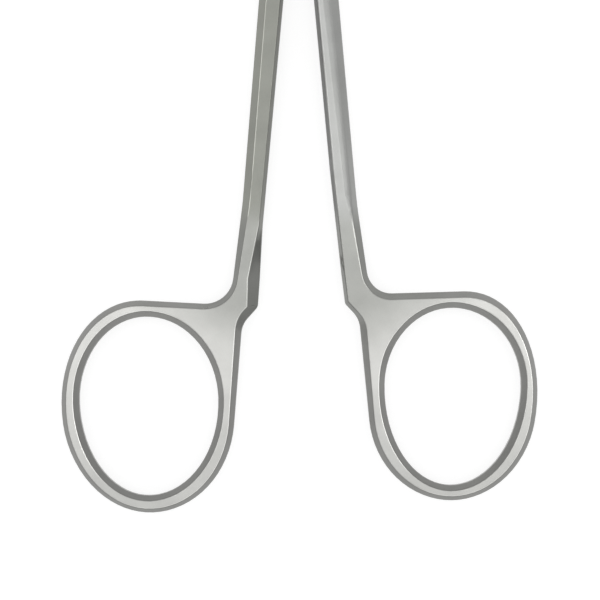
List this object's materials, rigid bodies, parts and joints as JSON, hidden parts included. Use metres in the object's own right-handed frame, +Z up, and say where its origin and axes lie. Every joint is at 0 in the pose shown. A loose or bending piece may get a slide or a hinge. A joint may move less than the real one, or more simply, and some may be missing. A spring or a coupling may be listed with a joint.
{
  "type": "molar cutting forceps",
  "caption": "Slim steel cutting forceps with finger rings, a box lock with a riveted pin, and long beaks that end in meeting cutting edges.",
  "frame": {"origin": "on the pivot axis, in the plane of the box lock's underside", "axes": "+Y towards the jaws, +Z up out of the flat forceps, +X to the right of the jaws seen from above"},
  "size_m": [0.0756, 0.1637, 0.0057],
  "materials": {
    "box_half_steel": "satin ground stainless steel with softened ridges",
    "tongue_half_steel": "satin ground stainless steel with softened ridges",
    "pin_steel": "ground flush, riveted ends"
  },
  "bodies": {
    "box_half": {"box_half": "box_half_steel", "pivot_pin": "pin_steel"},
    "tongue_half": {"tongue_half": "tongue_half_steel"}
  },
  "joints": [
    {"name": "pivot", "type": "hinge", "parent": "box_half", "child": "tongue_half", "pos_m": [0, 0, 0.0028], "axis": [0, 0, 1], "range_deg": [-6.9, 42.9]}
  ]
}
